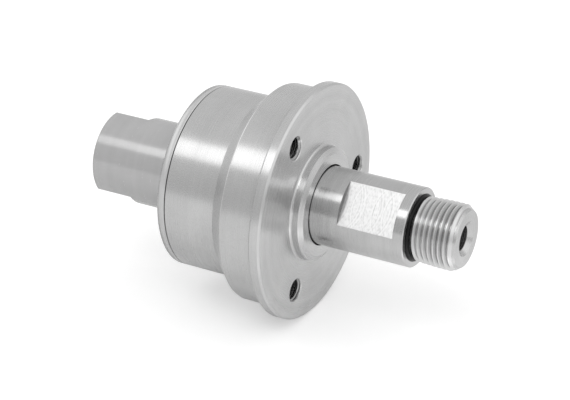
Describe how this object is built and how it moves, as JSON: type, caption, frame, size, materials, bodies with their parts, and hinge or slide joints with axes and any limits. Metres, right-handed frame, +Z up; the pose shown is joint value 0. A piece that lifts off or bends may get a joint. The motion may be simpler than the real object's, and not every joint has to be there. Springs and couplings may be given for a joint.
{
  "type": "hydraulic rotary union",
  "caption": "Flanged rotary union: a hollow threaded shaft turns in bearings inside a stepped round housing, with a port neck at the back.",
  "frame": {"origin": "centre of the flange's front mounting face, on the axis of rotation", "axes": "+X along the axis towards the threaded stud, +Z up, one tapped hole on the +Y side"},
  "size_m": [0.1322, 0.08, 0.08],
  "materials": {
    "turned_steel": "satin turned",
    "ground_steel": "ground, milled flats",
    "bearing_steel": "ground bright",
    "ball_steel": "lapped mirror",
    "cage_brass": "machined",
    "spring_steel": "drawn wire and strip",
    "hard_ring": "lapped dark carbide",
    "black_rubber": "matt",
    "white_plastic": "matt"
  },
  "bodies": {
    "stator": {"flange_housing": "turned_steel", "rear_cap": "turned_steel", "front_bearing_outer_ring": "bearing_steel", "rear_bearing_outer_ring": "bearing_steel", "outer_spacer": "turned_steel", "dust_seal": "black_rubber", "cap_o_ring": "black_rubber", "piston_o_ring": "black_rubber", "backup_ring": "white_plastic", "anti_rotation_pins": "ground_steel", "seal_spring": "spring_steel"},
    "rotor": {"rotor_shaft": "ground_steel", "front_bearing_inner_ring": "bearing_steel", "rear_bearing_inner_ring": "bearing_steel", "inner_spacer": "turned_steel", "lock_washer": "spring_steel", "lock_nut": "turned_steel", "seat_ring": "hard_ring", "seat_o_ring": "black_rubber", "stud_o_ring": "black_rubber"},
    "front_ball_set": {"front_bearing_balls": "ball_steel", "front_bearing_cage": "cage_brass"},
    "rear_ball_set": {"rear_bearing_balls": "ball_steel", "rear_bearing_cage": "cage_brass"},
    "floating_ring": {"floating_seal_ring": "hard_ring"}
  },
  "joints": [
    {"name": "rotor_spin", "type": "hinge", "parent": "stator", "child": "rotor", "pos_m": [0, 0, 0], "axis": [1, 0, 0], "continuous": true},
    {"name": "front_cage_spin", "type": "hinge", "parent": "stator", "child": "front_ball_set", "pos_m": [-0.0105, 0, 0], "axis": [1, 0, 0], "continuous": true},
    {"name": "rear_cage_spin", "type": "hinge", "parent": "stator", "child": "rear_ball_set", "pos_m": [-0.0265, 0, 0], "axis": [1, 0, 0], "continuous": true},
    {"name": "floating_ring_slide", "type": "slide", "parent": "stator", "child": "floating_ring", "axis": [1, 0, 0], "range_m": [-0.001, 0], "stiffness_N_per_m": 2000, "springref_m": 0.004, "deforming": ["seal_spring"]}
  ],
  "couplings": [
    {"joint": "front_cage_spin", "follows": "rotor_spin", "ratio": 0.3815},
    {"joint": "rear_cage_spin", "follows": "rotor_spin", "ratio": 0.3815}
  ]
}
